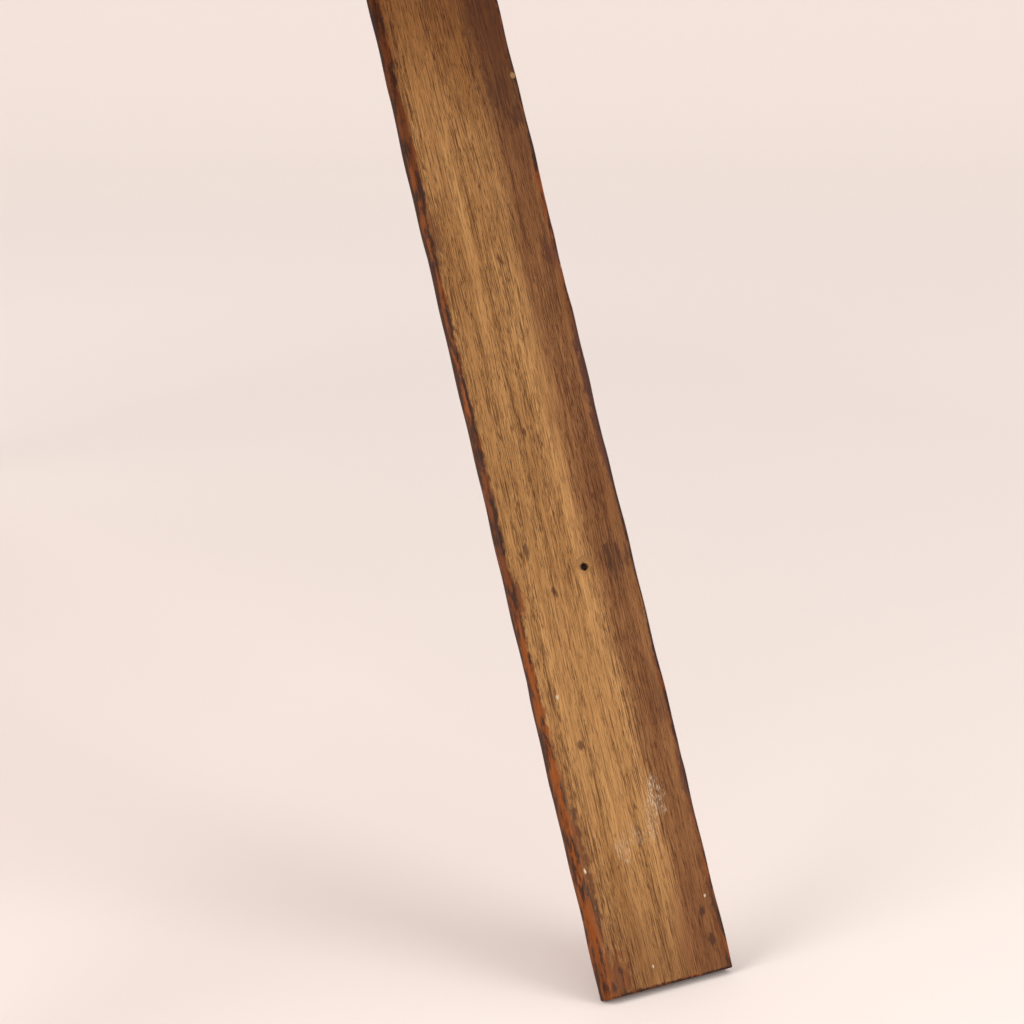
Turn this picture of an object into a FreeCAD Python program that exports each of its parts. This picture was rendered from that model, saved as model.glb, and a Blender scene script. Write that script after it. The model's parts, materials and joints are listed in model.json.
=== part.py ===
"""Folding plank table: boarded top on battens, two splayed plank leg frames that fold flat below it.

The origin is on the floor under the middle of the top, +X runs along the boards to end A, +Z is up.
End B is end A turned half round about Z.  A leg frame is drawn about its hinge line: in its own
axes +X points out of the legs' outer face, +Y along the hinge line and -Z down the legs.
"""
import FreeCAD, Part
import os
import Sketcher

doc = FreeCAD.newDocument("FoldingTable")

# ---------------------------------------------------------------- driving dimensions (mm, degrees)
SIZES = {
    "table_length": 1500, "table_width": 700, "table_height": 740,
    "board_count": 6, "board_gap": 2, "board_thickness": 18,
    "batten_thickness": 22, "centre_batten_width": 60, "end_batten_width": 40,
    "hinge_batten_width": 80, "hinge_batten_inboard": 45,
    "apron_thickness": 18, "apron_depth": 55,
    "hinge_axis_inset": 350, "axis_offset": 4, "leg_lean": 25.4,
    "leg_width": 80, "leg_thickness": 8, "leg_edge_radius": 2.5,
    "leg_apron_gap": 7, "leg_nest_gap": 10,
    "old_hole_radius": 1.9, "old_hole_rise": 219, "old_hole_side": 7.1,
    "rail_width": 50, "rail_thickness": 14, "rail_relief": 2, "rail_drop": 100,
    "rail_screw_pitch": 26,
    "hinge_length": 74, "leaf_thickness": 2, "leaf_reach": 35, "knuckle_radius": 3.6,
    "knuckle_count": 5, "knuckle_gap": 0.5, "leaf_knuckle_gap": 0.6, "hinge_pin_radius": 1.8,
    "hinge_screw_drop": 20, "hinge_screw_pitch": 26,
    "stay_width": 12, "stay_thickness": 2, "stay_side_gap": 0.3, "stay_upper_length": 87.5,
    "stay_anchor_inset": 140, "stay_anchor_drop": 12, "stay_rail_rise": 10, "stay_pin_radius": 2.5,
    "bracket_length": 36, "bracket_width": 22, "bracket_screw_pitch": 20,
    "bracket_screw_side": 13,
    "button_length": 190, "button_width": 30, "button_thickness": 12, "button_side": 110,
    "button_leg_gap": 4, "post_radius": 12,
    "board_screw_radius": 2, "board_screw_head_radius": 4, "board_screw_head": 1.6,
    "board_screw_bite": 12, "board_screw_outboard": 26, "apron_screw_bite": 25,
    "small_screw_radius": 1.5, "small_screw_head_radius": 3, "small_screw_head": 1,
    "small_screw_bite": 6.5, "button_screw_radius": 2.5, "button_screw_bite": 14,
    "rivet_head": 1.4, "rivet_head_radius": 4.4,
    "hole_clearance": 0.05, "counterbore_clearance": 0.3, "turning_gap": 0.3,
}

sheet = doc.addObject("Spreadsheet::Sheet", "Sizes")
for row, (alias, number) in enumerate(SIZES.items(), start=1):
    sheet.set("A%d" % row, alias)
    sheet.set("B%d" % row, str(number))
    sheet.setAlias("B%d" % row, alias)
doc.recompute()


def size(text):
    """The expression with every size name written as a cell of the sheet."""
    words = []
    word = ""
    for letter in text + " ":
        if letter.isalnum() or letter == "_":
            word += letter
            continue
        words.append("Sizes." + word if word in SIZES else word)
        words.append(letter)
        word = ""
    return "".join(words).strip()


def value(text):
    """The number that an expression of size names gives now."""
    result = sheet.evalExpression(size(text))
    return float(getattr(result, "Value", result))


# ---------------------------------------------------------------- places worked out from the sizes
BOARD_WIDTH = "((table_width - (board_count - 1) * board_gap) / board_count)"
BOARD_UNDERSIDE = "(table_height - board_thickness)"
BATTEN_UNDERSIDE = "(table_height - board_thickness - batten_thickness)"
BATTEN_LENGTH = "(table_width - 2 * apron_thickness)"
AXIS_X = "(table_length / 2 - hinge_axis_inset)"
AXIS_Z = "(table_height - board_thickness - batten_thickness - axis_offset)"
OUTER_LEG_Y = "(table_width / 2 - apron_thickness - leg_apron_gap - leg_width / 2)"
INNER_LEG_Y = "(table_width / 2 - apron_thickness - leg_apron_gap - leg_width * 3 / 2 - leg_nest_gap)"
LEG_LENGTH = "((%s + axis_offset * sin(leg_lean)) / cos(leg_lean))" % AXIS_Z
LEG_OUTER_FACE = "(axis_offset + leg_thickness)"
RAIL_FACE = "(axis_offset + leg_thickness + rail_relief)"
RAIL_OUTER_FACE = "(axis_offset + leg_thickness + rail_thickness)"
KNUCKLE_LENGTH = "((hinge_length - (knuckle_count - 1) * knuckle_gap) / knuckle_count)"
STAY_Y = "((%s - %s) / 2)" % (OUTER_LEG_Y, INNER_LEG_Y)
ANCHOR_X = "(%s - stay_anchor_inset)" % AXIS_X
ANCHOR_Z = "(%s - stay_anchor_drop)" % BOARD_UNDERSIDE
RAIL_PIVOT_OUT = "(%s - stay_rail_rise)" % RAIL_FACE
RAIL_PIVOT_X = "(%s + rail_drop * sin(leg_lean) + %s * cos(leg_lean))" % (AXIS_X, RAIL_PIVOT_OUT)
RAIL_PIVOT_Z = "(%s - rail_drop * cos(leg_lean) + %s * sin(leg_lean))" % (AXIS_Z, RAIL_PIVOT_OUT)
STAY_RUN = "(%s - %s)" % (RAIL_PIVOT_X, ANCHOR_X)
STAY_FALL = "(%s - %s)" % (ANCHOR_Z, RAIL_PIVOT_Z)
STAY_LENGTH = "(sqrt(%s ^ 2 + %s ^ 2))" % (STAY_RUN, STAY_FALL)
STAY_LOWER_LENGTH = "(%s - stay_upper_length)" % STAY_LENGTH
STAY_PITCH = "(atan2(%s; %s))" % (STAY_FALL, STAY_RUN)
# across the stay, from its middle plane: the upper link lies on +Y, the lower link on -Y
LINK_FACE = "(stay_side_gap / 2)"
EAR_FACE = "(stay_side_gap * 3 / 2 + stay_thickness)"
BRACKET_SCREW_Y = "(%s + bracket_screw_side)" % EAR_FACE
STOWED_UNDERSIDE = "(%s - %s)" % (AXIS_Z, LEG_OUTER_FACE)
BUTTON_TOP = "(%s - button_leg_gap)" % STOWED_UNDERSIDE
POST_LENGTH = "(%s - %s - turning_gap)" % (BATTEN_UNDERSIDE, BUTTON_TOP)

ENDS = {"a": 0, "b": 180}
LEG_PLACES = {"right": OUTER_LEG_Y, "left": "(-%s)" % INNER_LEG_Y}
BATTENS = {
    "batten_end_a": ("table_length / 2 - end_batten_width", "end_batten_width",
                     "table_length / 2 - end_batten_width / 2"),
    "batten_hinge_a": (AXIS_X + " - hinge_batten_inboard", "hinge_batten_width",
                       AXIS_X + " + board_screw_outboard"),
    "batten_centre": ("-centre_batten_width / 2", "centre_batten_width", "0"),
    "batten_hinge_b": ("-%s - hinge_batten_width + hinge_batten_inboard" % AXIS_X,
                       "hinge_batten_width", "-%s - board_screw_outboard" % AXIS_X),
    "batten_end_b": ("-table_length / 2", "end_batten_width",
                     "-table_length / 2 + end_batten_width / 2"),
}
pieces = []


# ---------------------------------------------------------------- modelling helpers
def new_body(label):
    body = doc.addObject("PartDesign::Body", label)
    pieces.append(body)
    return body


def place(piece, x="0", y="0", z="0", yaw="0", pitch="0"):
    """Bind the Placement: pitch turns the piece about its own Y, then yaw about Z."""
    words = "placement(vector(%s; %s; %s); rotation(%s; %s; 0))" % tuple(
        size(text) for text in (x, y, z, yaw, pitch))
    piece.setExpression("Placement", words)


def new_sketch(body, plane, offset="0"):
    sketch = body.newObject("Sketcher::SketchObject", body.Name + "_outline")
    support = [feature for feature in body.Origin.OriginFeatures if feature.Role == plane]
    sketch.AttachmentSupport = [(support[0], "")]
    sketch.MapMode = "FlatFace"
    if offset != "0":
        sketch.setExpression("AttachmentOffset.Base.z", size(offset))
    return sketch


def bind(sketch, kind, arguments, text):
    index = sketch.addConstraint(Sketcher.Constraint(kind, *arguments, value(text)))
    sketch.setExpression("Constraints[%d]" % index, size(text))


def hold_point(sketch, geometry, position, x, y):
    """Fix a point of the sketch at two expressions; a zero holds it on the axis."""
    for kind, text, axis in (("DistanceX", x, -2), ("DistanceY", y, -1)):
        if text == "0":
            sketch.addConstraint(Sketcher.Constraint("PointOnObject", geometry, position, axis))
        else:
            bind(sketch, kind, (-1, 1, geometry, position), text)


def add_polygon(sketch, corners):
    points = [FreeCAD.Vector(value(x), value(y), 0) for x, y in corners]
    first = sketch.GeometryCount
    count = len(points)
    for index in range(count):
        sketch.addGeometry(Part.LineSegment(points[index], points[(index + 1) % count]), False)
    for index in range(count):
        after = first + (index + 1) % count
        sketch.addConstraint(Sketcher.Constraint("Coincident", first + index, 2, after, 1))
    for index, (x, y) in enumerate(corners):
        hold_point(sketch, first + index, 1, x, y)


def add_circle(sketch, x, y, radius):
    centre = FreeCAD.Vector(value(x), value(y), 0)
    index = sketch.addGeometry(Part.Circle(centre, FreeCAD.Vector(0, 0, 1), value(radius)), False)
    bind(sketch, "Radius", (index,), radius)
    hold_point(sketch, index, 3, x, y)


def rectangle(x0, y0, x1, y1):
    return [(x0, y0), (x1, y0), (x1, y1), (x0, y1)]


def pad(body, sketch, length, midplane=False, reverse=False):
    feature = body.newObject("PartDesign::Pad", body.Name + "_pad")
    feature.Profile = sketch
    feature.setExpression("Length", size(length))
    feature.Midplane = midplane
    feature.Reversed = reverse
    sketch.Visibility = False
    doc.recompute()
    return feature


def cut_holes(body, plane, places, radius, depth=None, offset="0", reverse=False):
    """Pocket round holes from a plane: to a depth, or through the whole piece both ways."""
    sketch = new_sketch(body, plane, offset)
    for x, y in places:
        add_circle(sketch, x, y, radius)
    before = body.Shape.Volume
    pocket = body.newObject("PartDesign::Pocket", body.Name + "_holes")
    pocket.Profile = sketch
    if depth is None:
        pocket.Type = "ThroughAll"
        pocket.Midplane = True
    else:
        pocket.setExpression("Length", size(depth))
        pocket.Reversed = reverse
    doc.recompute()
    if body.Shape.Volume >= before - 1e-6:
        raise RuntimeError("%s: the holes cut nothing" % body.Label)


def screw_shape(radius, length, head_radius, head):
    """A screw along +X: the head's underside is at the origin, the shank on the +X side."""
    shank = Part.makeCylinder(radius, length, FreeCAD.Vector(0, 0, 0), FreeCAD.Vector(1, 0, 0))
    cap = Part.makeCylinder(head_radius, head, FreeCAD.Vector(-head, 0, 0), FreeCAD.Vector(1, 0, 0))
    return shank.fuse(cap).removeSplitter()


def fastener_group(label, shape, placements):
    """Like fasteners in one node: separate solids at each placement."""
    solids = [shape.transformGeometry(placement.toMatrix()) for placement in placements]
    group = doc.addObject("Part::Feature", label)
    group.Shape = Part.makeCompound([solid.Solids[0] for solid in solids])
    pieces.append(group)
    return group


def turn(yaw, pitch):
    return FreeCAD.Rotation(yaw, pitch, 0)


def at(x, y, z, yaw=0.0, pitch=0.0):
    return FreeCAD.Placement(FreeCAD.Vector(x, y, z), turn(yaw, pitch))


def leg_frame(yaw):
    """The placement of a leg frame's own axes at one end of the table."""
    half_turn = FreeCAD.Placement(FreeCAD.Vector(0, 0, 0), turn(yaw, 0))
    return half_turn.multiply(at(value(AXIS_X), 0, value(AXIS_Z), 0, -value("leg_lean")))


def place_in_leg_frame(body, yaw, y="0"):
    sign = "" if yaw == 0 else "-"
    place(body, sign + AXIS_X, sign + y, AXIS_Z, str(yaw), "-leg_lean")


def board_centre(index):
    return "(-table_width / 2 + %s / 2 + %d * (%s + board_gap))" % (BOARD_WIDTH, index, BOARD_WIDTH)


# ---------------------------------------------------------------- the top
def make_top_boards():
    count = int(value("board_count"))
    bracket_board = next(index for index in range(count)
                         if value("%s + %s / 2" % (board_centre(index), BOARD_WIDTH))
                         > value("%s + %s" % (STAY_Y, BRACKET_SCREW_Y)))
    for index in range(count):
        body = new_body("top_board_%d" % (index + 1))
        outline = new_sketch(body, "XY_Plane")
        add_polygon(outline, rectangle("-table_length / 2", "-%s / 2" % BOARD_WIDTH,
                                       "table_length / 2", "%s / 2" % BOARD_WIDTH))
        pad(body, outline, "board_thickness")
        holes = [(screw_x, "0") for _, _, screw_x in BATTENS.values()]
        cut_holes(body, "XY_Plane", holes, "board_screw_radius + hole_clearance",
                  "board_screw_bite + hole_clearance", reverse=True)
        if index == bracket_board:
            cut_bracket_holes(body, index, "a")
        if index == count - 1 - bracket_board:
            cut_bracket_holes(body, index, "b")
        place(body, "0", board_centre(index), BOARD_UNDERSIDE)


def cut_bracket_holes(body, index, end):
    """Screw holes for the stay's anchor bracket, in the board above it."""
    sign = "" if end == "a" else "-"
    half_pitch = "bracket_screw_pitch / 2"
    side = "%s(%s + %s) - %s" % (sign, STAY_Y, BRACKET_SCREW_Y, board_centre(index))
    holes = [("%s(%s %s %s)" % (sign, ANCHOR_X, step, half_pitch), side) for step in "+-"]
    cut_holes(body, "XY_Plane", holes, "small_screw_radius + hole_clearance",
              "small_screw_bite + hole_clearance", reverse=True)


def make_battens():
    for label, (start, width, screw_x) in BATTENS.items():
        body = new_body(label)
        outline = new_sketch(body, "XY_Plane")
        add_polygon(outline, rectangle("0", "-%s / 2" % BATTEN_LENGTH, width, "%s / 2" % BATTEN_LENGTH))
        pad(body, outline, "batten_thickness")
        local_x = "%s - (%s)" % (screw_x, start)
        holes = [(local_x, board_centre(index)) for index in range(int(value("board_count")))]
        cut_holes(body, "XY_Plane", holes, "board_screw_radius + hole_clearance")
        for offset, reverse in ((BATTEN_LENGTH + " / 2", False), ("-%s / 2" % BATTEN_LENGTH, True)):
            cut_holes(body, "XZ_Plane", [(width + " / 2", "batten_thickness / 2")],
                      "board_screw_radius + hole_clearance", "apron_screw_bite + hole_clearance",
                      offset, reverse)
        if "hinge" in label:
            cut_hinge_screw_holes(body, label[-1], start)
        if label == "batten_centre":
            button_places = [(width + " / 2", sign + "button_side") for sign in ("", "-")]
            cut_holes(body, "XY_Plane", button_places, "button_screw_radius + hole_clearance",
                      "button_screw_bite + hole_clearance", reverse=True)
        place(body, start, "0", BATTEN_UNDERSIDE)


def cut_hinge_screw_holes(body, end, start):
    sign = "" if end == "a" else "-"
    x = "%s(%s - hinge_screw_drop) - (%s)" % (sign, AXIS_X, start)
    holes = [(x, "%s(%s %s)" % (sign, leg_y, step)) for leg_y in LEG_PLACES.values()
             for step in ("- hinge_screw_pitch", "+ 0", "+ hinge_screw_pitch")]
    cut_holes(body, "XY_Plane", holes, "small_screw_radius + hole_clearance",
              "small_screw_bite + hole_clearance", reverse=True)


def make_aprons():
    for label, sign, reverse in (("apron_left", "-", False), ("apron_right", "", True)):
        body = new_body(label)
        outline = new_sketch(body, "XZ_Plane")
        add_polygon(outline, rectangle("-table_length / 2", "-apron_depth", "table_length / 2", "0"))
        pad(body, outline, "apron_thickness", midplane=True)
        places = [("%s + %s / 2" % (start, width), "-batten_thickness / 2")
                  for start, width, _ in BATTENS.values()]
        cut_holes(body, "XZ_Plane", places, "board_screw_radius + hole_clearance")
        cut_holes(body, "XZ_Plane", places, "board_screw_head_radius + counterbore_clearance",
                  "board_screw_head + hole_clearance", "-(%sapron_thickness / 2)" % sign, reverse)
        place(body, "0", sign + "(table_width - apron_thickness) / 2", BOARD_UNDERSIDE)


# ---------------------------------------------------------------- leg frames
def make_leg(end, yaw, name, leg_y):
    body = new_body("leg_%s_%s" % (end, name))
    outline = new_sketch(body, "XZ_Plane")
    inner_top = "(axis_offset - axis_offset * sin(leg_lean)) / cos(leg_lean)"
    outer_top = "(axis_offset - %s * sin(leg_lean)) / cos(leg_lean)" % LEG_OUTER_FACE
    add_polygon(outline, [("axis_offset", "-" + LEG_LENGTH), (LEG_OUTER_FACE, "-" + LEG_LENGTH),
                          (LEG_OUTER_FACE, outer_top), ("axis_offset", inner_top)])
    blank = pad(body, outline, "leg_width", midplane=True)
    long_edges = ["Edge%d" % number for number, edge in enumerate(blank.Shape.Edges, start=1)
                  if edge.Length > value("leg_width") + value("leg_thickness")]
    rounding = body.newObject("PartDesign::Fillet", body.Name + "_arris")
    rounding.Base = (blank, long_edges)
    rounding.setExpression("Radius", size("leg_edge_radius"))
    doc.recompute()
    screws = "small_screw_radius + hole_clearance"
    steps = ("-hinge_screw_pitch", "0", "hinge_screw_pitch")
    cut_holes(body, "YZ_Plane", [(step, "-hinge_screw_drop") for step in steps], screws,
              "small_screw_bite + hole_clearance", "axis_offset", True)
    rail_screws = [("0", "-(rail_drop %s rail_screw_pitch / 2)" % sign) for sign in "+-"]
    cut_holes(body, "YZ_Plane", rail_screws, screws, "small_screw_bite + hole_clearance",
              LEG_OUTER_FACE)
    if (end, name) == ("a", "right"):
        cut_holes(body, "YZ_Plane", [("old_hole_side", "-(%s - old_hole_rise)" % LEG_LENGTH)],
                  "old_hole_radius")
    place_in_leg_frame(body, yaw, leg_y)


def make_rail(end, yaw):
    """Cross rail lapped on the legs' outer faces, relieved where the other frame's leg passes."""
    body = new_body("rail_" + end)
    outline = new_sketch(body, "XY_Plane", "-rail_drop")
    right = OUTER_LEG_Y
    left = LEG_PLACES["left"]
    half = "leg_width / 2"
    add_polygon(outline, [
        (LEG_OUTER_FACE, "%s - %s" % (left, half)), (RAIL_OUTER_FACE, "%s - %s" % (left, half)),
        (RAIL_OUTER_FACE, "%s + %s" % (right, half)), (LEG_OUTER_FACE, "%s + %s" % (right, half)),
        (LEG_OUTER_FACE, "%s - %s" % (right, half)), (RAIL_FACE, "%s - %s" % (right, half)),
        (RAIL_FACE, "%s + %s" % (left, half)), (LEG_OUTER_FACE, "%s + %s" % (left, half))])
    pad(body, outline, "rail_width", midplane=True)
    screws = [(leg_y, "-(rail_drop %s rail_screw_pitch / 2)" % sign)
              for leg_y in LEG_PLACES.values() for sign in "+-"]
    cut_holes(body, "YZ_Plane", screws, "small_screw_radius + hole_clearance")
    bracket = [("%s - %s" % (STAY_Y, BRACKET_SCREW_Y),
                "-(rail_drop %s bracket_screw_pitch / 2)" % sign) for sign in "+-"]
    cut_holes(body, "YZ_Plane", bracket, "small_screw_radius + hole_clearance",
              "small_screw_bite + hole_clearance", RAIL_FACE, True)
    place_in_leg_frame(body, yaw)


# ---------------------------------------------------------------- hinges
def knuckle_start(index):
    return "(-hinge_length / 2 + %d * (%s + knuckle_gap))" % (index, KNUCKLE_LENGTH)


def make_leaf(label, knuckles):
    """Hinge leaf about its pin along Y: the plate hangs down -Z, off the +X side of the pin."""
    body = new_body(label)
    plate = new_sketch(body, "YZ_Plane", "axis_offset - leaf_thickness")
    root = "-(knuckle_radius + leaf_knuckle_gap)"
    corners = [("-hinge_length / 2", "-leaf_reach"), ("hinge_length / 2", "-leaf_reach")]
    last = int(value("knuckle_count")) - 1
    for index in range(last, -1, -1):
        if index not in knuckles:
            if index == last:
                corners.append(("hinge_length / 2", root))
            if index == 0:
                corners.append(("-hinge_length / 2", root))
            continue
        start = knuckle_start(index)
        finish = start + " + " + KNUCKLE_LENGTH
        if index != last:
            corners.append((finish, root))
        corners += [(finish, "0"), (start, "0")]
        if index != 0:
            corners.append((start, root))
    add_polygon(plate, corners)
    pad(body, plate, "leaf_thickness")
    for index in knuckles:
        middle = "%s + %s / 2" % (knuckle_start(index), KNUCKLE_LENGTH)
        ring = new_sketch(body, "XZ_Plane", "-(%s)" % middle)
        add_circle(ring, "0", "0", "knuckle_radius")
        pad(body, ring, KNUCKLE_LENGTH, midplane=True)
    cut_holes(body, "XZ_Plane", [("0", "0")], "hinge_pin_radius + hole_clearance")
    steps = ("-hinge_screw_pitch", "0", "hinge_screw_pitch")
    cut_holes(body, "YZ_Plane", [(step, "-hinge_screw_drop") for step in steps],
              "small_screw_radius + hole_clearance")
    return body


def make_hinges():
    for end, yaw in ENDS.items():
        sign = "" if yaw == 0 else "-"
        for name, leg_y in LEG_PLACES.items():
            fixed = make_leaf("hinge_top_leaf_%s_%s" % (end, name), (0, 2, 4))
            place(fixed, sign + AXIS_X, sign + leg_y, AXIS_Z, str(180 - yaw), "-90")
            moving = make_leaf("hinge_leg_leaf_%s_%s" % (end, name), (1, 3))
            place_in_leg_frame(moving, yaw, leg_y)
    pin = Part.makeCylinder(value("hinge_pin_radius"), value("hinge_length"),
                            FreeCAD.Vector(0, -value("hinge_length") / 2, 0),
                            FreeCAD.Vector(0, 1, 0))
    fastener_group("hinge_pins", pin, [
        at(side * value(AXIS_X), side * value(leg_y), value(AXIS_Z))
        for side in (1, -1) for leg_y in LEG_PLACES.values()])


# ---------------------------------------------------------------- folding stays
def make_link(label, length, face):
    """Flat link with round ends along X, one face at a given Y, eyes at X = 0 and at its length."""
    body = new_body(label)
    outline = new_sketch(body, "XZ_Plane", face)
    add_polygon(outline, rectangle("0", "-stay_width / 2", length, "stay_width / 2"))
    pad(body, outline, "stay_thickness")
    for eye in ("0", length):
        end = new_sketch(body, "XZ_Plane", face)
        add_circle(end, eye, "0", "stay_width / 2")
        pad(body, end, "stay_thickness")
    cut_holes(body, "XZ_Plane", [("0", "0"), (length, "0")], "stay_pin_radius + hole_clearance")
    return body


def make_bracket(label, lift):
    """Angle bracket: foot plate flat on its seat at Z = lift, ear across Y with the pivot hole."""
    body = new_body(label)
    foot = new_sketch(body, "XY_Plane", lift)
    add_polygon(foot, rectangle("-bracket_length / 2", EAR_FACE, "bracket_length / 2",
                                EAR_FACE + " + bracket_width"))
    pad(body, foot, "stay_thickness", reverse=True)
    ear = new_sketch(body, "XZ_Plane", "-" + EAR_FACE)
    add_polygon(ear, rectangle("-stay_width / 2", "0", "stay_width / 2", lift))
    pad(body, ear, "stay_thickness", reverse=True)
    eye = new_sketch(body, "XZ_Plane", "-" + EAR_FACE)
    add_circle(eye, "0", "0", "stay_width / 2")
    pad(body, eye, "stay_thickness", reverse=True)
    cut_holes(body, "XZ_Plane", [("0", "0")], "stay_pin_radius + hole_clearance")
    screws = [("%sbracket_screw_pitch / 2" % sign, BRACKET_SCREW_Y) for sign in ("", "-")]
    cut_holes(body, "XY_Plane", screws, "small_screw_radius + hole_clearance",
              "stay_thickness", lift)
    return body


def rivet_shape(radius, start, finish, heads):
    """A rivet along +Y between two planes, with a flat head beyond each end that has one."""
    along = FreeCAD.Vector(0, 1, 0)
    shape = Part.makeCylinder(radius, finish - start, FreeCAD.Vector(0, start, 0), along)
    head = value("rivet_head")
    for end, plane in (("start", start - head), ("finish", finish)):
        if end in heads:
            cap = Part.makeCylinder(value("rivet_head_radius"), head,
                                    FreeCAD.Vector(0, plane, 0), along)
            shape = shape.fuse(cap)
    return shape.removeSplitter()


def make_stays():
    pin = value("stay_pin_radius")
    face = value(LINK_FACE)
    ear_back = value(EAR_FACE) + value("stay_thickness")
    gap = value("stay_side_gap")
    knee_run = value("stay_upper_length") / value(STAY_LENGTH)
    for end, yaw in ENDS.items():
        sign = "" if yaw == 0 else "-"
        turn_end = FreeCAD.Placement(FreeCAD.Vector(0, 0, 0), turn(yaw, 0))
        upper = make_link("stay_upper_link_" + end, "stay_upper_length",
                          "-(%s + stay_thickness)" % LINK_FACE)
        place(upper, sign + ANCHOR_X, sign + STAY_Y, ANCHOR_Z, str(yaw), STAY_PITCH)
        lower = make_link("stay_lower_link_" + end, STAY_LOWER_LENGTH, LINK_FACE)
        knee_x = "(%s + stay_upper_length * cos(%s))" % (ANCHOR_X, STAY_PITCH)
        knee_z = "(%s - stay_upper_length * sin(%s))" % (ANCHOR_Z, STAY_PITCH)
        place(lower, sign + knee_x, sign + STAY_Y, knee_z, str(yaw), STAY_PITCH)

        anchor = make_bracket("stay_top_bracket_" + end, "stay_anchor_drop")
        place(anchor, sign + ANCHOR_X, sign + STAY_Y, ANCHOR_Z, str(yaw))
        seat = make_bracket("stay_rail_bracket_" + end, "stay_rail_rise")
        # turned half round so that its ear is on -Y and its foot plate meets the rail at +X
        place(seat, sign + RAIL_PIVOT_X, sign + STAY_Y, RAIL_PIVOT_Z, str(yaw + 180),
              "-90 + leg_lean")

        def across(shape, label, x, z, flip=0):
            spot = turn_end.multiply(at(x, value(STAY_Y), z, flip))
            return fastener_group(label, shape, [spot])

        top_pin = rivet_shape(pin, face - gap, ear_back + gap / 3, ("start", "finish"))
        across(top_pin, "stay_top_pin_" + end, value(ANCHOR_X), value(ANCHOR_Z))
        across(top_pin, "stay_rail_pin_" + end, value(RAIL_PIVOT_X), value(RAIL_PIVOT_Z), 180)
        knee = (value(ANCHOR_X) + knee_run * value(STAY_RUN),
                value(ANCHOR_Z) - knee_run * value(STAY_FALL))
        half_rivet = rivet_shape(pin, face, face + value("stay_thickness"), ("finish",))
        across(half_rivet, "knee_rivet_upper_" + end, *knee)
        across(half_rivet, "knee_rivet_lower_" + end, *knee, flip=180)


# ---------------------------------------------------------------- turn buttons
def make_buttons():
    for name, sign in (("left", "-"), ("right", "")):
        post = new_body("button_post_" + name)
        ring = new_sketch(post, "XY_Plane")
        add_circle(ring, "0", "0", "post_radius")
        add_circle(ring, "0", "0", "button_screw_radius + hole_clearance")
        pad(post, ring, POST_LENGTH)
        place(post, "0", sign + "button_side", "%s - %s" % (BATTEN_UNDERSIDE, POST_LENGTH))

        arm = new_body("turn_button_" + name)
        outline = new_sketch(arm, "XY_Plane")
        reach = "(button_length - button_width / 2)"
        add_polygon(outline, rectangle("0", "-button_width / 2", reach, "button_width / 2"))
        pad(arm, outline, "button_thickness")
        for centre in ("0", reach):
            end = new_sketch(arm, "XY_Plane")
            add_circle(end, centre, "0", "button_width / 2")
            pad(arm, end, "button_thickness")
        cut_holes(arm, "XY_Plane", [("0", "0")], "button_screw_radius + hole_clearance")
        place(arm, "0", sign + "button_side", "%s - button_thickness" % BUTTON_TOP)


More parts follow.
